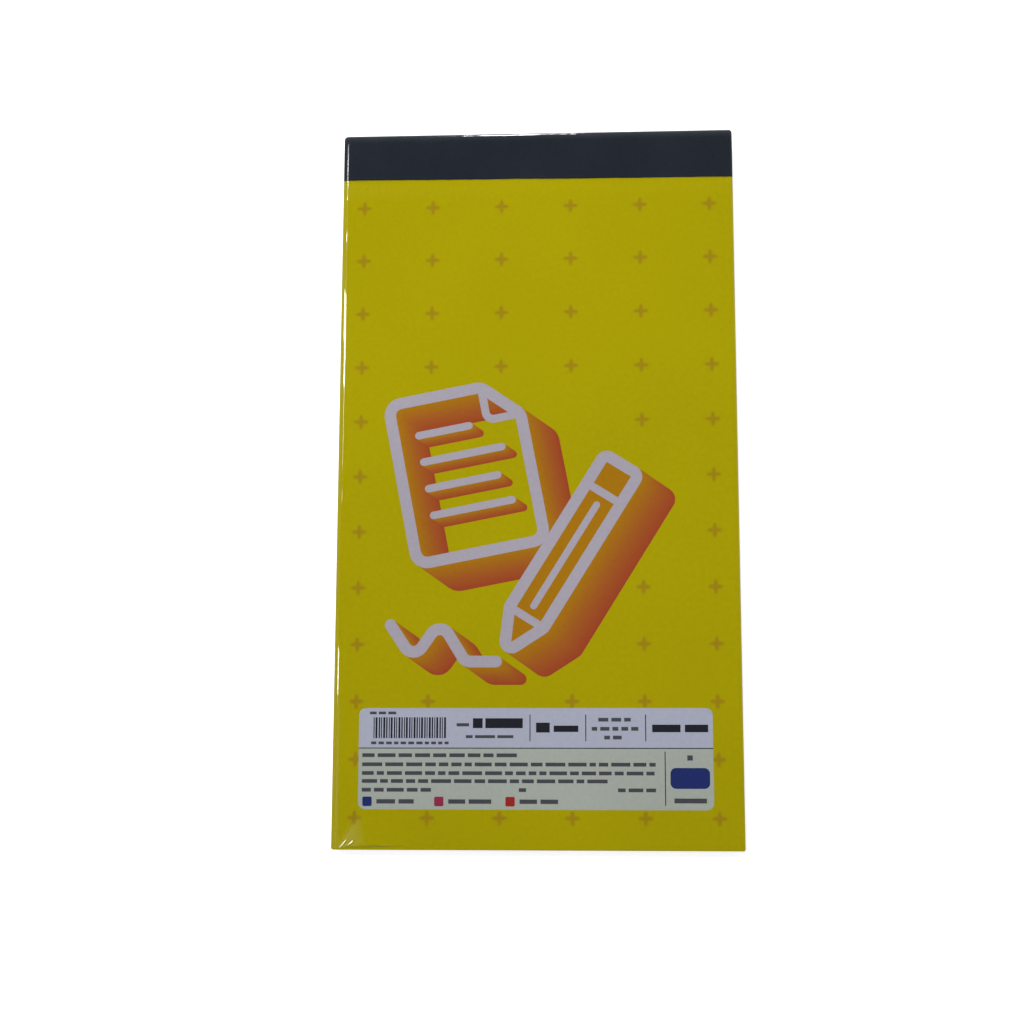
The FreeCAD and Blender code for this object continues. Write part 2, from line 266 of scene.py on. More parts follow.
class Print:
    """The fields of colour on the cover, each a polygon with an ink and a rank."""

    def __init__(self):
        self.fields = []
        self.bare = []

    def field(self, points, ink, rank, wall=None, core=None):
        points = [Vector(p) for p in points]
        size = area(points)
        if abs(size) < SMALLEST_FIELD:
            return
        if size < 0:
            points.reverse()
        self.fields.append(colour_field(points, ink, rank, wall, core))

    def band(self, line, width, rank, closed=False):
        """A white stroke along a line, over the walls of its form, with round ends."""
        rank += OUTLINE_OVER
        left, right = both_edges(line, width, closed)
        for (a, b), (c, d) in zip(pairs(left, closed), pairs(right, closed)):
            self.field([a, c, d, b], "white", rank)
        if not closed:
            for end in (line[0], line[-1]):
                self.field(disc(end, width / 2, END_STEPS), "white", rank)

    def walls(self, line, shift, rank, closed=True):
        """The sides of a raised form that reaches back from its outline by a shift."""
        for a, b in pairs(line, closed):
            if abs((b - a).cross(shift)) > SMALLEST_WALL:
                self.field([a, b, b + shift, a + shift], "sunset", rank, (a, b - a, shift))

    def raised_band(self, line, width, shift, rank, closed=False):
        """A white stroke with the sides of its depth behind it."""
        self.band(line, width, rank, closed)
        for edge in both_edges(line, width, closed):
            self.walls(edge, shift, rank, closed)
        if not closed:
            for end in (line[0], line[-1]):
                self.walls(disc(end, width / 2, END_STEPS), shift, rank)


def depth_in(wall, point):
    """How far back a point of a wall lies: 0 at the front, 1 at the back."""
    start, along, shift = wall
    return (point - start).cross(along) / shift.cross(along)


def rank_at(field, point):
    """The rank of a field at a point. A wall's is higher towards its front."""
    return field["rank"] + (0.5 - depth_in(field["wall"], point) if field["wall"] else 0)


def fade_at(field, point):
    """The share of the second colour that a field has at a point."""
    if field["wall"]:
        return depth_in(field["wall"], point)
    if field["core"]:
        if inside(field["core"], point):
            return 1.0
        gap = min(gap_to_run(point, a, b) for a, b in pairs(field["core"], True))
        return max(0.0, 1 - gap / PLUS_FADE)
    return 0.0


def gap_to_run(point, start, end):
    """Distance from a point to the straight run between two others."""
    run = end - start
    share = min(max((point - start).dot(run) / run.length_squared, 0.0), 1.0)
    return (point - start - run * share).length


def inside(polygon, point):
    """Whether a point lies inside a polygon."""
    within = False
    for a, b in pairs(polygon, True):
        if (a.y > point.y) != (b.y > point.y):
            if point.x < a.x + (b.x - a.x) * (point.y - a.y) / (b.y - a.y):
                within = not within
    return within


# The rows of small crosses, each a full core in a rim that fades out.
PLUS_PITCH = (18.55, -14.66)
PLUS_FIRST = Vector((-46.6, 74.25))
PLUS_COLUMNS = 6
PLUS_ROWS = 12
PLUS_CORE = (1.45, 0.34, 0.16)
PLUS_RIM = (2.15, 0.82, 0.6)
PLUS_TIP = 0.3
PLUS_FADE = 0.55
PLUS_CLEAR_OF_DESIGN = 5.5


def plus_outline(centre, reach, half_root, half_tip):
    """A small cross with arms that taper towards round tips."""
    points = []
    for quarter in range(4):
        arm = [
            (half_root, -half_root),
            (reach - PLUS_TIP, -half_tip),
            (reach, -half_tip / 2),
            (reach, half_tip / 2),
            (reach - PLUS_TIP, half_tip),
        ]
        points += turned(arm, 90 * quarter, centre)
    return points


# The design: its strokes, how far its raised forms reach back, and its outlines, each
# drawn upright and then put in its place, as a turn in degrees and a shift.
STROKE = 3.0
FINE_STROKE = STROKE * 0.7
DEPTH = Vector((8.5, -6.0))
PAGE = ((-17, -21), (17, -21), (17, 13), (8, 22), (-17, 22))
PAGE_FOLD = ((8, 22), (8, 13), (17, 13))
PAGE_CORNER = 3.2
FOLD_CORNER = 2.0
PAGE_PUT = (11, (-18.5, 1.5))
LINE_START = -10.5
LINE_ENDS = (3, 10.5, 8, 10.5)
LINE_FIRST = 12.5
LINE_PITCH = 7.2
LINE_STROKE = 2.0
LINE_DEPTH = DEPTH * 0.35
PENCIL_HALF = 5.2
PENCIL = ((0, 0), (11, -PENCIL_HALF), (58, -PENCIL_HALF), (58, PENCIL_HALF), (11, PENCIL_HALF))
PENCIL_CORNER = 1.6
PENCIL_PUT = (58, (-8.5, -45.5))
PENCIL_RINGS = (11, 49)
LEAD = ((14.5, 0), (45.5, 0))
LEAD_STROKE = 1.8
SQUIGGLE = ((-38, -38), (-32, -47), (-25, -37), (-18.5, -47.5), (-10.5, -47.5))
SQUIGGLE_CORNER = 2.6
SQUIGGLE_DEPTH = DEPTH * 0.75


def draw_design(sheet):
    """A page with a pencil and the line that it has drawn, as raised forms."""
    outline = rounded(turned(PAGE, *PAGE_PUT), PAGE_CORNER)
    sheet.bare.append(outline)
    sheet.raised_band(outline, STROKE, DEPTH, PAGE_RANK, closed=True)
    fold = rounded(turned(PAGE_FOLD, *PAGE_PUT), FOLD_CORNER, False)
    sheet.band(fold, FINE_STROKE, PAGE_RANK)
    for row, end in enumerate(LINE_ENDS):
        level = LINE_FIRST - LINE_PITCH * row
        line = turned([(LINE_START, level), (end, level)], *PAGE_PUT)
        sheet.raised_band(line, LINE_STROKE, LINE_DEPTH, LINES_RANK)
    shape = rounded(turned(PENCIL, *PENCIL_PUT), PENCIL_CORNER)
    sheet.walls(offset_line(shape, -STROKE / 2, True), DEPTH, PENCIL_RANK)
    sheet.field(shape, "face", PENCIL_RANK + FACE_OVER)
    sheet.band(shape, STROKE, PENCIL_RANK, closed=True)
    for ring in PENCIL_RINGS:
        ends = ((ring, -PENCIL_HALF), (ring, PENCIL_HALF))
        sheet.band(turned(ends, *PENCIL_PUT), FINE_STROKE, PENCIL_RANK)
    sheet.band(turned(LEAD, *PENCIL_PUT), LEAD_STROKE, PENCIL_RANK)
    squiggle = rounded(SQUIGGLE, SQUIGGLE_CORNER, False)
    sheet.raised_band(squiggle, STROKE, SQUIGGLE_DEPTH, SQUIGGLE_RANK)


PANEL_LOW = (-45.75, -84.9)
PANEL_HIGH = (44.8, -59.35)
PANEL_SPLIT = -69.5
PANEL_CORNER = 1.8
# Its dividers, as the place across, the lower and the upper end of each.
DIVIDERS = ((-1.75, -67.75, -61), (12.5, -67.75, -61), (27.75, -67.75, -61), (32.6, -83.8, -70.3))
DIVIDER_WIDTH = 0.24
# Its block of upright bars, whose widths and gaps follow a plain rule.
BARS_LOW = (-42.0, -67.0)
BARS_HIGH = (-23.2, -61.7)
BAR_WIDTHS = (0.26, 0.5, 0.36)
BAR_GAPS = (0.24, 0.32)
# Gap between light words, as a share of their height.
WORD_GAP = 0.8
PRINT_SEED = 11


def draw_panel(sheet):
    """The pale two-part panel: dividers, with plain bars where small print would be."""
    rng = random.Random(PRINT_SEED)
    left, right = PANEL_LOW[0], PANEL_HIGH[0]
    whole = rectangle(*PANEL_LOW, *PANEL_HIGH)
    sheet.field(rounded(whole, PANEL_CORNER), "panel_lower", PANEL_RANK)
    level = PANEL_HIGH[1] - PANEL_CORNER
    top = arc(Vector((right - PANEL_CORNER, level)), PANEL_CORNER, 0, 90, 6)
    top += arc(Vector((left + PANEL_CORNER, level)), PANEL_CORNER, 90, 180, 6)
    top += [Vector((left, PANEL_SPLIT)), Vector((right, PANEL_SPLIT))]
    sheet.field(top, "panel_upper", PANEL_RANK + 1)

    def mark(points, ink):
        sheet.field(points, ink, MARK_RANK)

    def bar(low_x, high_x, middle, height, ink="dark"):
        mark(rectangle(low_x, middle - height / 2, high_x, middle + height / 2), ink)

    def words(low_x, high_x, middle, height, shortest=1.6, longest=5.2):
        x = low_x
        while x < high_x - shortest:
            end = min(x + rng.uniform(shortest, longest), high_x)
            bar(x, end, middle, height, "grey")
            x = end + height * WORD_GAP

    bar(left, right, PANEL_SPLIT, DIVIDER_WIDTH)
    for x, lower, upper in DIVIDERS:
        mark(rectangle(x - DIVIDER_WIDTH / 2, lower, x + DIVIDER_WIDTH / 2, upper), "dark")

    x = BARS_LOW[0]
    step = 0
    while x < BARS_HIGH[0]:
        width = BAR_WIDTHS[step % len(BAR_WIDTHS)]
        mark(rectangle(x, BARS_LOW[1], x + width, BARS_HIGH[1]), "dark")
        x += width + BAR_GAPS[step % len(BAR_GAPS)]
        step += 1
    words(-43.0, -36.2, -60.6, 0.7, 1.2, 2.4)
    words(-42.6, -22.6, -68.2, 0.7, 1.0, 1.8)

    # Short bold and light rows in the upper part.
    words(-20.6, -17.4, -63.6, 0.8)
    bar(-16.4, -13.9, -63.2, 2.5)
    bar(-13.2, -3.6, -63.2, 2.5)
    words(-18.2, -6.0, -66.6, 0.75)
    bar(-0.2, 3.3, -64.3, 2.5)
    bar(4.3, 10.6, -64.6, 1.6)
    for middle, half in ((-62.3, 4.4), (-64.6, 6.1), (-66.8, 2.9)):
        words(20.1 - half, 20.1 + half, middle, 0.95, 1.4, 3.2)
    bar(29.4, 36.6, -64.5, 1.9)
    bar(37.7, 43.6, -64.5, 1.9)

    # Rows of light words in the lower part.
    for middle, end in ((-71.3, -3.4), (-73.6, 30.2), (-75.8, 30.2), (-77.8, 19.0)):
        words(-44.8, end, middle, 0.95)
    words(-44.8, -26.4, -80.0, 0.95)
    words(-4.6, -1.0, -80.0, 0.95)
    words(20.6, 31.0, -80.0, 0.95)
    for x, ink, end in ((-43.4, "blue", -31.4), (-25.0, "rose", -11.6), (-6.8, "red", 5.4)):
        mark(rounded(rectangle(x - 1.2, -84.1, x + 1.2, -81.7), 0.4), ink)
        words(x + 2.4, end, -82.9, 1.1, 3.0, 6.0)
    mark(rounded(rectangle(33.9, -79.6, 43.9, -74.4), 1.4), "blue")
    bar(38.2, 39.6, -71.9, 1.3, "grey")
    bar(34.8, 43.0, -82.6, 1.2, "grey")


def lay_out_print():
    """All the fields of colour, with crosses only where they are clear of the design."""
    sheet = Print()
    draw_design(sheet)
    design = [point for field in sheet.fields for point in field["points"]]
    draw_panel(sheet)
    for row in range(PLUS_ROWS):
        for column in range(PLUS_COLUMNS):
            centre = PLUS_FIRST + Vector((PLUS_PITCH[0] * column, PLUS_PITCH[1] * row))
            hidden = any(inside(polygon, centre) for polygon in sheet.bare)
            if hidden or any((centre - point).length < PLUS_CLEAR_OF_DESIGN for point in design):
                continue
            core = plus_outline(centre, *PLUS_CORE)
            sheet.field(plus_outline(centre, *PLUS_RIM), "plus", PLUS_RANK, core=core)
            sheet.field(core, "plus", PLUS_RANK + 1, core=core)
    return sheet


# Cover sheet

# How far the bend of the opening cover reaches past the hinge on both sides, and how
# far before it the card starts to dip, to pass a hair under the tape.
CREASE_ABOVE = 0.05
CREASE_BELOW = 0.6
DIP_BELOW = 5.0
UNDER_TAPE = 0.01
# How finely the mesh follows the flat card, the dip, the bend and the turn at the head.
GRID_STEP = 6.0
DIP_CUTS = 10
CREASE_CUTS = 8
HEAD_CUTS = 4
SAME_PLACE = 1e-4


def pad_outline(inset=0.0):
    """Plan of the pad under its tape, from foot to head, with its corners worn round."""
    side, foot, head = SIDE - inset, FOOT + inset, STACK_HEAD - inset
    outline = []
    for x, y, corner, start in (
        (-side, foot, FOOT_CORNER, 180), (side, foot, FOOT_CORNER, 270),
        (side, head, HEAD_CORNER, 0), (-side, head, HEAD_CORNER, 90),
    ):
        centre = Vector((math.copysign(side - corner, x), y + (corner if y < 0 else -corner)))
        outline += arc(centre, corner, start, start + 90, 6)
    return outline


# The knocked lower left corner: a soft bend and two sharp creases, measured from the corner.
BEND_START = Vector((1.8, 0.5))
BEND_ALONG = Vector((0.518, 0.855))
BEND_SLOPE = 0.06
BEND_REACH = 10.0
BEND_TAIL = 9.0
BEND_ENDS = (3.0, 14.0)
CREASES = (((2.5, 0.5), (4.0, 2.35), 0.34), ((4.6, 1.0), (5.75, 2.1), 0.36))
CREASE_SLOPE = 0.083
CORNER_PATCH = 21.0
CORNER_STEP = 0.5
# The finer mesh round each crease: its step, its room past both ends, and how far to
# the sides it reaches as a share of the crease's width.
CREASE_STEP = 0.1
ROOM_LOW = Vector((0.7, 0.0))
ROOM_HIGH = Vector((0.7, 0.6))
CREASE_REACH = 1.5


def gap_to_crease(place, start, end, width):
    """Distance from a place to a crease, as a share of the crease's width."""
    return gap_to_run(place, Vector(start), Vector(end)) / width


def corner_bend(x, y):
    """Height of the bend and the creases over the flat card."""
    place = Vector((x + SIDE, y - FOOT))
    across = max((place - BEND_START).cross(BEND_ALONG), 0.0)
    run = (place - BEND_START).dot(BEND_ALONG)
    climb = min(across, BEND_REACH)
    rise = BEND_SLOPE * climb * (1 - climb / (2 * BEND_REACH))
    fade = 1 - smooth(BEND_REACH, BEND_REACH + BEND_TAIL, across)
    height = rise * fade * (1 - smooth(*BEND_ENDS, run))
    for start, end, width in CREASES:
        height += CREASE_SLOPE * width * max(0.0, 1 - gap_to_crease(place, start, end, width))
    return height


def cover_level(x, y):
    """Level of the printed face over the whole sheet."""
    dip = smooth(CREASE_Y - DIP_BELOW, CREASE_Y, y)
    level = COVER_TOP + (MARGIN_TOP - UNDER_TAPE - COVER_TOP) * dip
    height = pressed(x, y, level)
    inner = HEAD_ROUND - TAPE_THICKNESS
    height -= arc_drop(inner, inner - (STACK_HEAD - y))
    if x < CORNER_PATCH - SIDE and y < CORNER_PATCH + FOOT:
        height += corner_bend(x, y)
    return height


def pressed_lines(steps):
    """Lines along the pressed edges, so that a mesh can follow their bend."""
    lines = []
    for step in range(1, steps + 1):
        share = step / steps
        lines.append(("x", -SIDE + LEFT_ROLL * share))
        lines.append(("x", SIDE - RIGHT_ROLL * share))
        lines.append(("y", FOOT + FOOT_ROLL * share))
    return lines


def crease_lines():
    """Lines across the sheet where it dips under the tape and turns over the head."""
    low, high = CREASE_Y - DIP_BELOW, CREASE_Y + CREASE_ABOVE
    fall, turn = high - CREASE_BELOW - low, HEAD_ROUND - TAPE_THICKNESS
    lines = [("y", low + fall * step / DIP_CUTS) for step in range(DIP_CUTS + 1)]
    lines += [("y", high - CREASE_BELOW * step / CREASE_CUTS) for step in range(CREASE_CUTS)]
    lines += [("y", STACK_HEAD - turn * step / HEAD_CUTS) for step in range(1, HEAD_CUTS + 1)]
    return lines


def clipped(line, outline):
    """The stretch of a straight line that lies inside the outline."""
    axis, level = line
    across = [Vector((p.y, p.x)) for p in outline] if axis == "x" else outline
    cuts = []
    for a, b in pairs(across, True):
        if (a.y > level) != (b.y > level):
            cuts.append(a.x + (b.x - a.x) * (level - a.y) / (b.y - a.y))
    ends = (min(cuts), max(cuts))
    return [Vector((level, end)) if axis == "x" else Vector((end, level)) for end in ends]


def triangulate(outline, lines, fields, loose=()):
    """Cut the plan along every outline, and name the topmost field of each triangle."""
    points, edges, faces = [], [], []

    def add(polygon):
        first = len(points)
        points.extend(polygon)
        return list(range(first, first + len(polygon)))

    faces.append(add(outline))
    for line in lines:
        edges.append(tuple(add(clipped(line, outline))))
    for field in fields:
        faces.append(add(field["points"]))
    points.extend(loose)
    found = delaunay_2d_cdt(points, edges, faces, 1, SAME_PLACE, True)
    places, triangles = found[0], found[2]
    chosen = []
    for triangle, source in zip(triangles, found[5]):
        centre = sum((places[i] for i in triangle), Vector((0, 0))) / len(triangle)
        over = [fields[index - 1] for index in source if index]
        chosen.append(max(over, key=lambda field: rank_at(field, centre), default=None))
    return places, triangles, chosen


def grid(low, high, step):
    """Evenly spaced places inside a rectangle."""
    columns = int((high[0] - low[0]) / step)
    rows = int((high[1] - low[1]) / step)
    return [Vector((low[0] + step * column, low[1] + step * row))
            for column in range(1, columns) for row in range(1, rows)]


def corner_places():
    """Extra places for the mesh where the corner is bent and creased."""
    origin = Vector((-SIDE, FOOT))
    places = grid((LEFT_ROLL, FOOT_ROLL), (CORNER_PATCH, CORNER_PATCH), CORNER_STEP)
    for crease in CREASES:
        low = Vector(crease[0]) - ROOM_LOW
        high = Vector(crease[1]) + ROOM_HIGH
        near = grid(low, high, CREASE_STEP)
        places += [place for place in near if gap_to_crease(place, *crease) < CREASE_REACH]
    return [origin + place for place in places]


STITCHES = ("stitch_left", "stitch_right")
WIRE = 0.4
WIRE_ROOM = 0.05


def stitch_slots(whole):
    """Where the stitches pass: the whole crown of each, or its two legs."""
    slots = []
    for stitch in STITCHES:
        low, high = [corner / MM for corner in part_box(stitch)]
        low_y, high_y = low.y - WIRE_ROOM, high.y + WIRE_ROOM
        spans = [(low.x - WIRE_ROOM, high.x + WIRE_ROOM)]
        if not whole:
            spans = [(low.x - WIRE_ROOM, low.x + WIRE + WIRE_ROOM),
                     (high.x - WIRE - WIRE_ROOM, high.x + WIRE_ROOM)]
        for start, end in spans:
            slot = rectangle(start, low_y, end, high_y)
            slots.append(colour_field(slot, "slot", SLOT_RANK))
    return slots


PRESSED_CUTS = 8
SHARP_FROM = 35


def make_cover_sheet():
    """The card cover in one sheet: printed face, bare back and trimmed edges."""
    fields = lay_out_print().fields + stitch_slots(whole=True)
    loose = grid((-SIDE, FOOT), (SIDE, STACK_HEAD), GRID_STEP) + corner_places()
    lines = pressed_lines(PRESSED_CUTS) + crease_lines()
    places, triangles, chosen = triangulate(pad_outline(), lines, fields, loose)
    kept = [(corners, field) for corners, field in zip(triangles, chosen)
            if not field or field["ink"] != "slot"]
    mesh = bpy.data.meshes.new("cover_sheet")
    points = [(p.x * MM, p.y * MM, cover_level(p.x, p.y) * MM) for p in places]
    mesh.from_pydata(points, [], [corners for corners, _ in kept])
    inks = list(cover_inks)
    fade = mesh.attributes.new("fade", "FLOAT", "CORNER")
    for polygon, (_, field) in zip(mesh.polygons, kept):
        polygon.material_index = inks.index(field["ink"]) if field else 0
        polygon.use_smooth = True
        if field and (field["wall"] or field["core"]):
            for corner in polygon.loop_indices:
                place = places[mesh.loops[corner].vertex_index]
                fade.data[corner].value = fade_at(field, place)
    piece = add_object("cover_sheet", mesh)
    for ink in inks:
        mesh.materials.append(cover_inks[ink])
    thickness = piece.modifiers.new("card", "SOLIDIFY")
    thickness.thickness = CARD_THICKNESS * MM
    thickness.offset = -1
    thickness.material_offset = len(inks)
    thickness.material_offset_rim = len(inks)
    return trimmed(settled(piece))


def trimmed(piece):
    """Bring what stands past the cut edges of the pad back to them."""
    for vertex in piece.data.vertices:
        vertex.co.x = min(max(vertex.co.x, -SIDE * MM), SIDE * MM)
        vertex.co.y = max(vertex.co.y, FOOT * MM)
    return piece


def settled(piece):
    """Turn what the modifiers make into the piece's own mesh."""
    depsgraph = bpy.context.evaluated_depsgraph_get()
    mesh = bpy.data.meshes.new_from_object(piece.evaluated_get(depsgraph))
    piece.modifiers.clear()
    old = piece.data
    piece.data = mesh
    bpy.data.meshes.remove(old)
    mesh.set_sharp_from_angle(angle=math.radians(SHARP_FROM))
    return piece


# Binding tape

# Where its mesh is cut, across and along its line.
TAPE_CUTS = 150
FRONT_CUTS = 8
HEAD_FOLD_CUTS = 10
SIDE_CUTS = 4
BACK_FOLD_CUTS = 8
BACK_CUTS = 4
SIDE_STEP = 0.6
# Its slight unevenness: at its lower edge, and in a soft line along the fold.
TAPE_SEED = 4
TAPE_EDGE_DRIFT = 0.04
TAPE_FOLD_DRIFT = 0.02
EDGE_REACH = 3
FOLD_INSET = 0.45
FOLD_SPREAD = 0.6
# How far from the head its corners are worn, and how wide the painted sheen along the fold is: a
# paler colour painted in for the light that the bend catches.
WORN_REACH = 2.0
SHEEN_WIDTH = 2.4


def tape_profile(x):
    """The tape's outer line from its lower edge over the head to its edge at the back."""
    share = (x + SIDE) / (2 * SIDE)
    width = TAPE_LEFT_WIDTH + (TAPE_RIGHT_WIDTH - TAPE_LEFT_WIDTH) * share
    lower = HEAD - width
    front = HEAD - HEAD_ROUND
    side = TAPE_TOP - HEAD_ROUND
    back = HEAD - BACK_ROUND
    reach = TAPE_BACK_WIDTH - BACK_ROUND
    line = [Vector((lower + (front - lower) * step / FRONT_CUTS, TAPE_TOP))
            for step in range(FRONT_CUTS)]
    line += arc(Vector((front, side)), HEAD_ROUND, 90, 0, HEAD_FOLD_CUTS)
    line += [Vector((HEAD, side - SIDE_STEP * step)) for step in range(1, SIDE_CUTS + 1)]
    line += arc(Vector((back, BACK_ROUND)), BACK_ROUND, 0, -90, BACK_FOLD_CUTS)
    line += [Vector((back - reach * step / BACK_CUTS, 0)) for step in range(1, BACK_CUTS + 1)]
    return line


def tape_columns():
    """Where the tape's mesh is cut across, closer together where its ends are pressed."""
    cuts = range(PRESSED_CUTS + 1)
    left = [-SIDE + LEFT_ROLL * step / PRESSED_CUTS for step in cuts]
    right = [SIDE - RIGHT_ROLL * step / PRESSED_CUTS for step in reversed(cuts)]
    middle = [left[-1] + (right[0] - left[-1]) * step / TAPE_CUTS for step in range(1, TAPE_CUTS)]
    return left + middle + right


def drifts(count, reach, rng):
    """Slow random swings between -1 and 1, each spread over a few columns."""
    width = 2 * reach + 1
    raw = [rng.uniform(-1, 1) for _ in range(count + 2 * reach)]
    return [sum(raw[index:index + width]) / math.sqrt(width) for index in range(count)]


def make_tape():
    """The binding tape, folded round the head and pressed down at both ends."""
    mesh = bpy.data.meshes.new("head_tape")
    columns = tape_columns()
    rng = random.Random(TAPE_SEED)
    edge_drift = drifts(len(columns), 6, rng)
    slow = drifts(len(columns), 4, rng)
    quick = drifts(len(columns), 1, rng)
    fold_drift = [a + 0.5 * b for a, b in zip(slow, quick)]
    vertices = []
    for x, edge, fold in zip(columns, edge_drift, fold_drift):
        corner = arc_drop(HEAD_CORNER, abs(x) - (SIDE - HEAD_CORNER))
        line = tape_profile(x)
        for y, z in line:
            on_front = smooth(PAGES_BOTTOM, TAPE_TOP - HEAD_ROUND, z)
            near_head = smooth(HEAD - WORN_REACH, HEAD, y)
            sink = TAPE_TOP - pressed(x, 0.0, TAPE_TOP)
            near_fold = math.exp(-((y - HEAD + FOLD_INSET) / FOLD_SPREAD) ** 2) * on_front
            z -= sink * on_front + TAPE_FOLD_DRIFT * (1 + fold) * near_fold
            near_edge = 1 - smooth(CREASE_Y, CREASE_Y + EDGE_REACH, y)
            y += TAPE_EDGE_DRIFT * edge * near_edge * on_front
            vertices.append((x * MM, (y - corner * near_head) * MM, z * MM))
    rows = len(line)
    faces = []
    for column in range(len(columns) - 1):
        for row in range(rows - 1):
            a = column * rows + row
            faces.append((a, a + rows, a + rows + 1, a + 1))
    mesh.from_pydata(vertices, [], faces)
    for polygon in mesh.polygons:
        polygon.use_smooth = True
    piece = add_object("head_tape", mesh)
    mesh.materials.append(tape_material())
    thickness = piece.modifiers.new("tape", "SOLIDIFY")
    thickness.thickness = TAPE_THICKNESS * MM
    thickness.offset = -1
    return trimmed(settled(piece))


# Nodes

def plug(tree, socket, source):
    """Feed a socket with another node's output, or set it to a value."""
    if isinstance(source, bpy.types.NodeSocket):
        tree.links.new(source, socket)
    else:
        socket.default_value = source


def feed(tree, fed, **inputs):
    """Feed a node's inputs, named with underscores for spaces."""
    for name, source in inputs.items():
        plug(tree, fed.inputs[name.replace("_", " ")], source)


def node(tree, kind, **inputs):
    """Add a node and feed its inputs."""
    made = tree.nodes.new(kind)
    feed(tree, made, **inputs)
    return made


def calc(tree, operation, *values, clamp=False):
    made = tree.nodes.new("ShaderNodeMath")
    made.operation = operation
    made.use_clamp = clamp
    for socket, source in zip(made.inputs, values):
        plug(tree, socket, source)
    return made.outputs[0]


def times(tree, first, second):
    return calc(tree, "MULTIPLY", first, second)


def xyz(tree, **axes):
    """A vector from its axes, 0 where one isn't given."""
    return node(tree, "ShaderNodeCombineXYZ", **axes).outputs[0]


def axes_of(tree, vector):
    return node(tree, "ShaderNodeSeparateXYZ", Vector=vector).outputs


# Sheets

SHEETS = 40
SHEET_PITCH = (PAGES_TOP - PAGES_BOTTOM) / SHEETS
SHEET_GAP = 0.008
SHEET_SHIFT = 0.02
SHEET_CUTS = 4
SHEET_SEED = 7
# The sheets below this level lie flat.
FLAT_LEVEL = 2.7


def sheet_blank():
    """One trimmed sheet of paper with holes for the stitches, as a thin slab."""
    outline = pad_outline(SHEET_SHIFT)
    holes = stitch_slots(whole=False)
    places, triangles, chosen = triangulate(outline, pressed_lines(SHEET_CUTS), holes)
    kept = [tuple(corners) for corners, field in zip(triangles, chosen) if field is None]
    count = len(places)
    vertices = [(p.x * MM, p.y * MM, 0.0) for p in places]
    vertices += [(p.x * MM, p.y * MM, (SHEET_PITCH - SHEET_GAP) * MM) for p in places]
    faces = [t[::-1] for t in kept] + [tuple(i + count for i in t) for t in kept]
    runs = {run for t in kept for run in zip(t, t[1:] + t[:1])}
    for a, b in sorted(runs):
        if (b, a) not in runs:
            faces.append((a, b, b + count, a + count))
    mesh = bpy.data.meshes.new("ruled_sheets")
    mesh.from_pydata(vertices, [], faces)
    return mesh


def fall_of_arc(tree, radius, reach):
    """How far a face bent to this radius falls, this far past the start of the bend."""
    past = calc(tree, "MAXIMUM", reach, 0.0)
    left = calc(tree, "SUBTRACT", times(tree, radius, radius), times(tree, past, past))
    root = calc(tree, "SQRT", calc(tree, "MAXIMUM", left, 0.0))
    return calc(tree, "SUBTRACT", radius, root)


# What the stack of sheets is built from, as the inputs of its node group.
STACK_SIZES = {
    "Sheets": SHEETS,
    "Seed": SHEET_SEED,
    "Pitch": SHEET_PITCH * MM,
    "Shift": SHEET_SHIFT * MM,
    "Bottom": PAGES_BOTTOM * MM,
    "Top": PAGES_TOP * MM,
    "Flat level": FLAT_LEVEL * MM,
    "Side": SIDE * MM,
    "Foot": -FOOT * MM,
    "Left reach": LEFT_ROLL * MM,
    "Right reach": RIGHT_ROLL * MM,
    "Foot reach": FOOT_ROLL * MM,
    "Left radius": (LEFT_ROLL_RADIUS - COVER_TOP + PAGES_TOP) * MM,
    "Radius": (ROLL_RADIUS - COVER_TOP + PAGES_TOP) * MM,
}


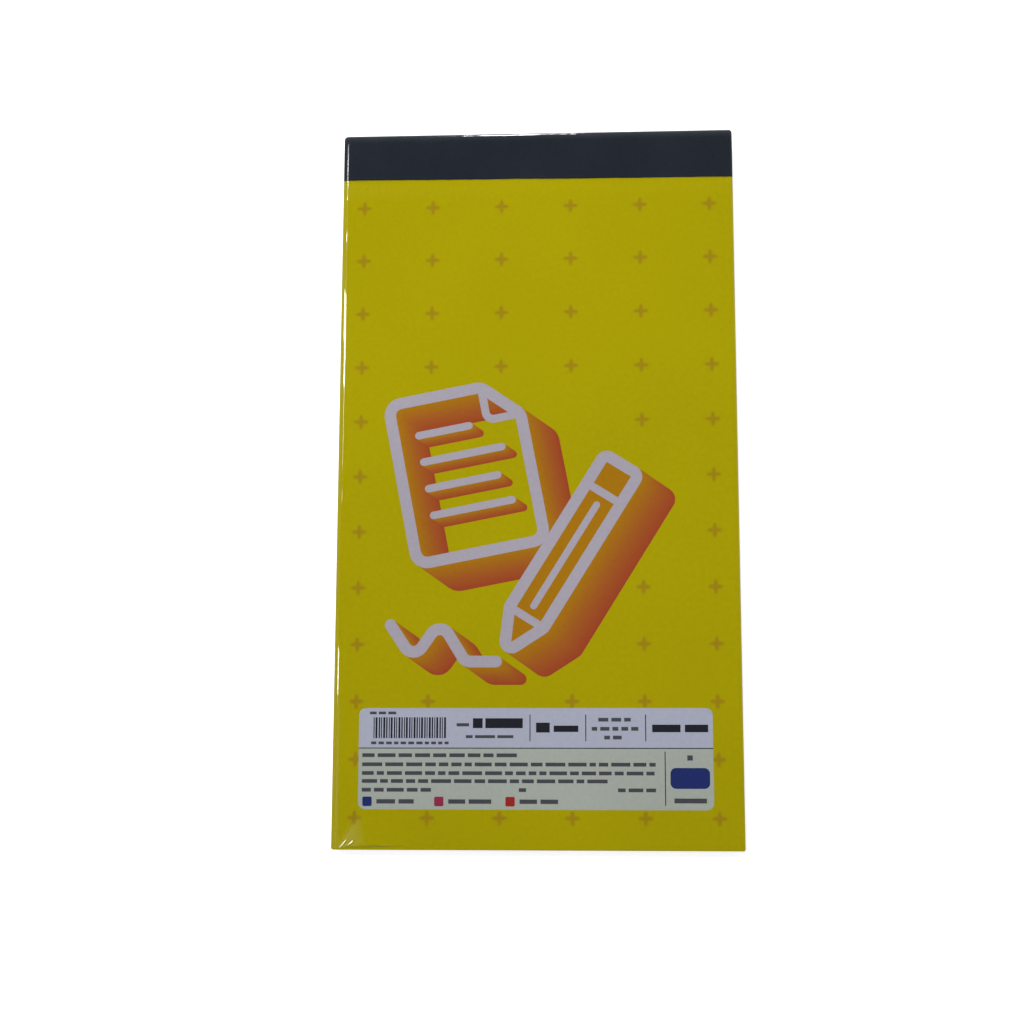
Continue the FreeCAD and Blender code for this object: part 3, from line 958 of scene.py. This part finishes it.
def stack_tree(paper):
    """Sheets in a stack, each cut a hair off its neighbours, with their edges pressed down."""
    tree = bpy.data.node_groups.new("sheet_stack", "GeometryNodeTree")
    tree.interface.new_socket("Stack", in_out="OUTPUT", socket_type="NodeSocketGeometry")
    tree.interface.new_socket("Sheet", in_out="INPUT", socket_type="NodeSocketGeometry")
    for name, value in STACK_SIZES.items():
        kind = "NodeSocketInt" if isinstance(value, int) else "NodeSocketFloat"
        tree.interface.new_socket(name, in_out="INPUT", socket_type=kind)
    given = tree.nodes.new("NodeGroupInput").outputs
    line = node(tree, "GeometryNodeMeshLine", Count=given["Sheets"],
                Start_Location=xyz(tree, Z=given["Bottom"]), Offset=xyz(tree, Z=given["Pitch"]))
    stacked = node(tree, "GeometryNodeInstanceOnPoints", Points=line.outputs[0],
                   Instance=given["Sheet"])
    shift = tree.nodes.new("FunctionNodeRandomValue")
    shift.data_type = "FLOAT_VECTOR"
    for socket, end in zip(shift.inputs, (times(tree, given["Shift"], -1.0), given["Shift"])):
        plug(tree, socket, xyz(tree, X=end, Y=end))
    plug(tree, shift.inputs["Seed"], given["Seed"])
    moved = node(tree, "GeometryNodeTranslateInstances", Instances=stacked.outputs[0],
                 Translation=shift.outputs[0])
    real = node(tree, "GeometryNodeRealizeInstances", Geometry=moved.outputs[0])
    place_of = axes_of(tree, tree.nodes.new("GeometryNodeInputPosition").outputs[0])
    marked = node(tree, "GeometryNodeStoreNamedAttribute", Geometry=real.outputs[0],
                  Name="level", Value=place_of["Z"])
    falls = []
    for axis, sign, edge, reach, radius in (
        ("X", 1.0, "Side", "Left reach", "Left radius"),
        ("X", -1.0, "Side", "Right reach", "Radius"),
        ("Y", 1.0, "Foot", "Foot reach", "Radius"),
    ):
        from_edge = calc(tree, "ADD", times(tree, place_of[axis], sign), given[edge])
        past = calc(tree, "SUBTRACT", given[reach], from_edge)
        falls.append(calc(tree, "POWER", fall_of_arc(tree, given[radius], past), 2.0))
    fall = calc(tree, "SQRT", calc(tree, "ADD", calc(tree, "ADD", *falls[:2]), falls[2]))
    # The sheets under the rolled ones are squeezed less, and the lowest lie flat.
    lift = calc(tree, "SUBTRACT", place_of["Z"], given["Flat level"])
    depth = calc(tree, "SUBTRACT", given["Top"], given["Flat level"])
    share = calc(tree, "DIVIDE", lift, depth, clamp=True)
    drop = times(tree, times(tree, fall, share), -1.0)
    bent = node(tree, "GeometryNodeSetPosition", Geometry=marked.outputs[0],
                Offset=xyz(tree, Z=drop))
    painted = node(tree, "GeometryNodeSetMaterial", Geometry=bent.outputs[0], Material=paper)
    node(tree, "NodeGroupOutput", Stack=painted.outputs[0])
    return tree


def make_sheets():
    piece = add_object("ruled_sheets", sheet_blank())
    paper = paper_material()
    piece.data.materials.append(paper)
    stack = piece.modifiers.new("sheet_stack", "NODES")
    stack.node_group = stack_tree(paper)
    for item in stack.node_group.interface.items_tree:
        if item.name in STACK_SIZES:
            stack[item.identifier] = STACK_SIZES[item.name]
    return settled(piece)


# Materials

def new_material(name):
    material = bpy.data.materials.new(name)
    material.use_nodes = True
    tree = material.node_tree
    tree.nodes.clear()
    shader = tree.nodes.new("ShaderNodeBsdfPrincipled")
    node(tree, "ShaderNodeOutputMaterial", Surface=shader.outputs["BSDF"])
    return material, tree, shader


def object_place(tree):
    """The place on the object, in metres."""
    return tree.nodes.new("ShaderNodeTexCoord").outputs["Object"]


def stretched(tree, scale):
    """The place on the object, with each axis scaled by its own factor."""
    made = node(tree, "ShaderNodeMapping", Vector=object_place(tree), Scale=scale)
    return made.outputs["Vector"]


def noise(tree, scale, detail=2.0, roughness=0.5, vector=None):
    made = node(tree, "ShaderNodeTexNoise", Vector=vector or object_place(tree),
                Scale=scale, Detail=detail, Roughness=roughness)
    return made.outputs["Fac"]


def spread(tree, source, low, high, from_low=0.0, from_high=1.0):
    made = node(tree, "ShaderNodeMapRange", Value=source, From_Min=from_low,
                From_Max=from_high, To_Min=low, To_Max=high)
    return made.outputs["Result"]


def toned(tree, source, low, high):
    """A level between low and high that follows the middle range of a noise."""
    return spread(tree, source, low, high, 0.3, 0.7)


def mix(tree, share, first, second):
    made = tree.nodes.new("ShaderNodeMix")
    made.data_type = "RGBA"
    plug(tree, made.inputs[0], share)
    plug(tree, made.inputs[6], first)
    plug(tree, made.inputs[7], second)
    return made.outputs[2]


def dimmed(tree, colour, level):
    """A colour made lighter or darker by a level."""
    made = tree.nodes.new("ShaderNodeVectorMath")
    made.operation = "SCALE"
    plug(tree, made.inputs[0], colour if isinstance(colour, bpy.types.NodeSocket) else colour[:3])
    plug(tree, made.inputs["Scale"], level)
    return made.outputs[0]


def bump(tree, height, distance, strength=1.0, normal=None):
    made = node(tree, "ShaderNodeBump", Height=height, Distance=distance, Strength=strength)
    if normal:
        feed(tree, made, Normal=normal)
    return made.outputs["Normal"]


def varnish(tree, shader, roughness):
    """A gloss coat over a base that has no gloss of its own."""
    feed(tree, shader, Coat_Weight=0.9, Coat_Roughness=roughness, Specular_IOR_Level=0.0)


def printed_card(name, *colours):
    """Ink on white card under a gloss varnish: fine mottle, fibre and slow waves."""
    material, tree, shader = new_material(name)
    colours = [linear(*seen) for seen in colours]
    colour = colours[0]
    if len(colours) > 1:
        fade = tree.nodes.new("ShaderNodeAttribute")
        fade.attribute_name = "fade"
        ramp = node(tree, "ShaderNodeValToRGB", Fac=fade.outputs["Fac"])
        stops = ramp.color_ramp.elements
        stops[0].color = colours[0]
        stops[1].color = colours[-1]
        for middle in colours[1:-1]:
            stops.new(0.5).color = middle
        colour = ramp.outputs["Color"]
    mottle = toned(tree, noise(tree, 900, 3, 0.6), 0.965, 1.035)
    slow = toned(tree, noise(tree, 22, 2), 0.97, 1.03)
    level = times(tree, mottle, slow)
    fibre = noise(tree, 2600, 4, 0.6)
    waves = noise(tree, 38, 2, 0.4)
    feed(tree, shader, Base_Color=dimmed(tree, colour, level),
         Roughness=spread(tree, noise(tree, 300, 2), 0.42, 0.54),
         Normal=bump(tree, fibre, 0.00002, 0.35),
         Coat_Normal=bump(tree, waves, 0.00012, 0.35))
    varnish(tree, shader, 0.03)
    return material


def raw_card(name):
    """The uncoated back and the cut edges of the card."""
    material, tree, shader = new_material(name)
    flecks = noise(tree, 1400, 5, 0.65)
    level = toned(tree, flecks, 0.93, 1.05)
    feed(tree, shader, Base_Color=dimmed(tree, CARD_RAW, level), Roughness=0.85,
         Normal=bump(tree, flecks, 0.00004, 0.5))
    return material


cover_inks = {ink: printed_card(*finish) for ink, finish in INKS.items()}
cover_inks["raw"] = raw_card("card_raw")


def tape_material():
    """Smooth dark coated binding paper with a faint fine grain."""
    material, tree, shader = new_material("binding_navy")
    patch = noise(tree, 60, 3, 0.55)
    grain = noise(tree, 1800, 3, 0.6)
    patches = toned(tree, patch, 0.9, 1.1)
    level = times(tree, patches, toned(tree, grain, 0.92, 1.08))
    # The fold over the head is painted a little paler: a painted sheen for the light that its
    # bend catches.
    along = axes_of(tree, object_place(tree))["Y"]
    near_head = spread(tree, along, 0.0, 1.0, (HEAD - SHEEN_WIDTH) * MM, HEAD * MM)
    near_head = times(tree, near_head, near_head)
    painted_sheen = times(tree, near_head, toned(tree, patch, 0.2, 0.5))
    colour = mix(tree, painted_sheen, TAPE_NAVY, TAPE_SHEEN_NAVY)
    waves = bump(tree, noise(tree, 60, 2, 0.4), 0.0002, 0.4)
    feed(tree, shader, Base_Color=dimmed(tree, colour, level),
         Roughness=spread(tree, grain, 0.42, 0.58),
         Normal=bump(tree, grain, 0.00003, 0.4),
         Coat_Normal=bump(tree, grain, 0.00002, 0.25, waves))
    varnish(tree, shader, 0.06)
    return material


# The ruling of the first page, and how quickly the tone of a cut edge changes.
FIRST_RULE = 62.0
RULE_PITCH = 7.5
RULE_WIDTH = 0.16
EDGE_SCALE = 40


def paper_material():
    """White writing paper: the cut edges of the sheets, and the ruled first page."""
    material, tree, shader = new_material("ruled_sheets")
    place_of = axes_of(tree, object_place(tree))
    level = tree.nodes.new("ShaderNodeAttribute")
    level.attribute_name = "level"
    level = level.outputs["Fac"]
    flecks = noise(tree, 900, 4, 0.6)
    by_sheet = {axis: times(tree, place_of[axis], EDGE_SCALE) for axis in "XY"}
    by_sheet["Z"] = times(tree, level, 1.0 / (SHEET_PITCH * MM))
    sheets = noise(tree, 1.0, 2, 0.6, xyz(tree, **by_sheet))
    on_top = calc(tree, "GREATER_THAN", level, (PAGES_TOP - SHEET_PITCH / 2) * MM)
    on_edge = calc(tree, "SUBTRACT", 1.0, on_top)
    edge_tone = times(tree, toned(tree, sheets, 0.84, 1.03), on_edge)
    face_tone = times(tree, toned(tree, flecks, 0.97, 1.02), on_top)
    paper = dimmed(tree, PAPER_WHITE, calc(tree, "ADD", edge_tone, face_tone))
    below_first = calc(tree, "SUBTRACT", FIRST_RULE * MM, place_of["Y"])
    steps = calc(tree, "DIVIDE", below_first, RULE_PITCH * MM)
    within = calc(tree, "SUBTRACT", calc(tree, "FRACT", steps), 0.5)
    from_rule = calc(tree, "ABSOLUTE", within)
    on_rule = calc(tree, "GREATER_THAN", from_rule, 0.5 - RULE_WIDTH / 2 / RULE_PITCH)
    ruled = calc(tree, "GREATER_THAN", steps, -0.5)
    rule = times(tree, times(tree, on_rule, ruled), on_top)
    feed(tree, shader, Base_Color=mix(tree, rule, paper, RULE_BLUE), Roughness=0.8,
         Normal=bump(tree, flecks, 0.00002, 0.4))
    return material


def board_material():
    """Grey pulp board with darker and lighter flecks of recycled fibre."""
    material, tree, shader = new_material("grey_board")
    pulp = noise(tree, 260, 6, 0.7)
    fibres = noise(tree, 1.0, 3, 0.6, stretched(tree, (2600, 500, 2600)))
    share = spread(tree, fibres, 0.0, 0.55, 0.52, 0.7)
    base = mix(tree, share, BOARD_GREY, BOARD_FLECK)
    level = toned(tree, pulp, 0.88, 1.1)
    feed(tree, shader, Base_Color=dimmed(tree, base, level), Roughness=0.88,
         Normal=bump(tree, pulp, 0.00006, 0.6))
    return material


def wire_material():
    """Galvanised wire with drawing marks."""
    material, tree, shader = new_material("stitching_wire")
    marks = noise(tree, 1.0, 2, 0.5, stretched(tree, (300, 9000, 9000)))
    level = spread(tree, marks, 0.85, 1.1)
    feed(tree, shader, Base_Color=dimmed(tree, WIRE_ZINC, level), Metallic=1.0,
         Roughness=spread(tree, marks, 0.25, 0.42))
    return material


def dress(name, material):
    """Give a piece that keeps its own shape its finish."""
    slots = frame["nodes"][name].data.materials
    slots.clear()
    slots.append(material)


# Pieces

cover_sheet = make_cover_sheet()
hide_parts("front_cover", "cover_margin")
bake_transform(cover_sheet)

head_tape = make_tape()
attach(head_tape, "pad")
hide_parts("binding_tape")

ruled_sheets = make_sheets()
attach(ruled_sheets, "pad")
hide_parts("page_block")

dress("back_board", board_material())
for stitch in STITCHES:
    dress(stitch, wire_material())


# Table, backdrop and light

# The white table, in metres, and how bright it is to the lens.
FLOOR_HALF = 2.0
FLOOR_DROP = 0.00005
FLOOR_GLOW = 0.7
# The room: how bright it is around and straight above, and the height, as a share,
# from which it darkens and at which it is fully dark.
AMBIENT = 0.385
OVERHEAD = 0.06
CEILING_FROM = 0.85
CEILING_FULL = 0.925


def seen_ray(tree):
    """1 where the camera sees the surface, straight or through a gloss or glass."""
    path = tree.nodes.new("ShaderNodeLightPath")
    camera, gloss = path.outputs["Is Camera Ray"], path.outputs["Is Glossy Ray"]
    direct = calc(tree, "MAXIMUM", camera, gloss)
    return calc(tree, "MAXIMUM", direct, path.outputs["Is Transmission Ray"])


def make_floor():
    mesh = bpy.data.meshes.new("table")
    corners = rectangle(-FLOOR_HALF, -FLOOR_HALF, FLOOR_HALF, FLOOR_HALF)
    mesh.from_pydata([(x, y, -FLOOR_DROP) for x, y in corners], [], [(0, 1, 2, 3)])
    table = add_object("table", mesh)
    material, tree, shader = new_material("table_white")
    feed(tree, shader, Base_Color=TABLE_WHITE, Roughness=0.9, Specular_IOR_Level=0.1,
         Emission_Color=(1.0, 1.0, 1.0, 1.0),
         Emission_Strength=times(tree, seen_ray(tree), FLOOR_GLOW))
    mesh.materials.append(material)


def make_world():
    """Pale walls and a dark ceiling, and plain white where the lens sees past the table."""
    world = bpy.data.worlds.new("studio")
    bpy.context.scene.world = world
    world.use_nodes = True
    tree = world.node_tree
    tree.nodes.clear()
    heading = tree.nodes.new("ShaderNodeTexCoord").outputs["Generated"]
    height = axes_of(tree, heading)["Z"]
    room = spread(tree, height, AMBIENT, OVERHEAD, CEILING_FROM, CEILING_FULL)
    seen = tree.nodes.new("ShaderNodeLightPath").outputs["Is Camera Ray"]
    background = node(tree, "ShaderNodeBackground", Strength=calc(tree, "MAXIMUM", room, seen))
    node(tree, "ShaderNodeOutputWorld", Surface=background.outputs[0])


def hang(name, lamp, place, turn):
    """Put a lamp in its place with its turn."""
    holder = add_object(name, lamp)
    holder.location = place
    holder.rotation_mode = "QUATERNION"
    holder.rotation_quaternion = turn


def softbox(name, place, aim, width, length, radiance):
    """A rectangular lamp whose face has this brightness, turned to what it lights."""
    lamp = bpy.data.lights.new(name, "AREA")
    lamp.shape = "RECTANGLE"
    lamp.size = width
    lamp.size_y = length
    lamp.energy = radiance * math.pi * width * length
    back = (Vector(place) - Vector(aim)).normalized()
    across = Vector((0, 1, 0)).cross(back).normalized()
    turn = Matrix((across, back.cross(across), back)).transposed()
    hang(name, lamp, place, turn.to_quaternion())


# A window on the left, which draws the broken bright line along the left edge, as
# the place of each pane's middle, its width, its length and its brightness.
WINDOW_HEIGHT = 0.75
WINDOW_PANES = (
    (-0.32, 0.398, 0.10, 0.024, 12),
    (-0.32, 0.3765, 0.12, 0.013, 36),
    (-0.32, 0.325, 0.10, 0.008, 36),
    (-0.31, 0.238, 0.18, 0.076, 34),
    (-0.48, 0.278, 0.14, 0.046, 26),
    (-0.29, 0.166, 0.06, 0.070, 10),
    (-0.29, 0.108, 0.06, 0.008, 12),
    (-0.37, -0.029, 0.14, 0.037, 30),
    (-0.28, 0.280, 0.05, 0.260, 2.5),
)
# The panes face a line a little left of the pad's middle, nearer to it than they lie.
PANE_AIM_X = -0.05
PANE_AIM_SHARE = 0.3
# A faint glow that only the bent corner of the cover catches, softer towards its rim.
CORNER_GLOW = (-0.190, -0.205, -0.222, -0.242)
GLOW_Y = -0.11
GLOW_AIM = (-0.05, -0.09, 0)
GLOW_WIDTH = 0.16
GLOW_LENGTH = 0.12
GLOW_RADIANCE = 0.22
# The other soft lamps: name, place, aim, width, length and brightness.
SOFT_LAMPS = (
    ("head_window", (-0.063, 0.9, 0.5), (0, 0.05, 0), 0.06, 0.6, 28),
    ("right_fill", (0.75, 0.15, 0.6), (0, 0, 0), 0.5, 0.5, 0.6),
)
# The key lamp beyond the head.
KEY_PLACE = Vector((-0.085, 1.0, 1.0))
KEY_AIM = Vector((0.02, 0.05, 0))
KEY_POWER = 16.5
KEY_CONE = 14
KEY_SIZE = 0.05


def make_key():
    """A lamp from beyond the head whose pool of light fades towards the foot."""
    lamp = bpy.data.lights.new("head_key", "SPOT")
    lamp.energy = KEY_POWER
    lamp.spot_size = math.radians(KEY_CONE)
    lamp.spot_blend = 1.0
    lamp.shadow_soft_size = KEY_SIZE
    hang("head_key", lamp, KEY_PLACE, (KEY_AIM - KEY_PLACE).to_track_quat("-Z", "Y"))


def make_lights():
    for x, y, width, length, radiance in WINDOW_PANES:
        aim = (PANE_AIM_X, PANE_AIM_SHARE * y, 0)
        softbox("left_window", (x, y, WINDOW_HEIGHT), aim, width, length, radiance)
    for side in CORNER_GLOW:
        middle = (side - GLOW_WIDTH / 2, GLOW_Y, WINDOW_HEIGHT)
        softbox("corner_glow", middle, GLOW_AIM, GLOW_WIDTH, GLOW_LENGTH, GLOW_RADIANCE)
    for lamp in SOFT_LAMPS:
        softbox(*lamp)
    make_key()


# Camera: where the pad lies in front of the lens, as turns and a shift in millimetres.
PAD_TURN = (-8.32, -2.79, 0.41)
PAD_SHIFT = (-0.3, 3.0, -392.7)
FOCAL_PIXELS = 1500.0
IMAGE_SIDE = 1024.0
IMAGE_CENTRE = (538.0, 490.4)
SENSOR = 36.0


def make_camera():
    lens = bpy.data.cameras.new("camera")
    lens.sensor_width = SENSOR
    lens.lens = SENSOR * FOCAL_PIXELS / IMAGE_SIDE
    lens.shift_x = (IMAGE_SIDE / 2 - IMAGE_CENTRE[0]) / IMAGE_SIDE
    lens.shift_y = (IMAGE_CENTRE[1] - IMAGE_SIDE / 2) / IMAGE_SIDE
    lens.clip_start = 0.01
    lens.clip_end = 20.0
    camera = add_object("camera", lens)
    turn = Matrix.Identity(4)
    for degrees, axis in zip(PAD_TURN, "XYZ"):
        turn = Matrix.Rotation(math.radians(degrees), 4, axis) @ turn
    pad_to_lens = Matrix.Translation(Vector(PAD_SHIFT) * MM) @ turn
    lift = Matrix.Translation((0, 0, COVER_TOP * MM))
    camera.matrix_world = lift @ pad_to_lens.inverted()
    bpy.context.scene.camera = camera


make_floor()
make_world()
make_lights()
make_camera()
bpy.context.scene.view_settings.view_transform = "Standard"
